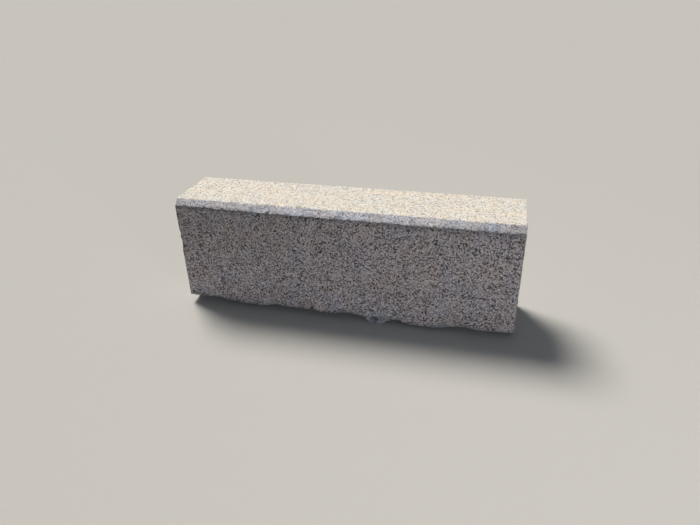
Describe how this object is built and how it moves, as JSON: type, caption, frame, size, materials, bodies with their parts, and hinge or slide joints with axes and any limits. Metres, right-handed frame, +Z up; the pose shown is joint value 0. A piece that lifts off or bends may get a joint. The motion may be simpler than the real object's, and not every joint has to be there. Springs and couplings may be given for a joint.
{
  "type": "granite kerb stone",
  "caption": "Sawn granite kerb stone with a flamed top, a chamfered road arris, flat ends and a rough-hewn bed.",
  "frame": {"origin": "under the middle of the stone, in the plane of the bed's lowest lumps", "axes": "+X along the kerb, left to right as seen from the road; +Y from the road face to the back; +Z up"},
  "size_m": [1, 0.2, 0.35],
  "materials": {
    "granite": "sawn faces, flamed top, rough-hewn bed"
  },
  "bodies": {
    "root": {"kerb_stone": "granite"}
  },
  "joints": []
}
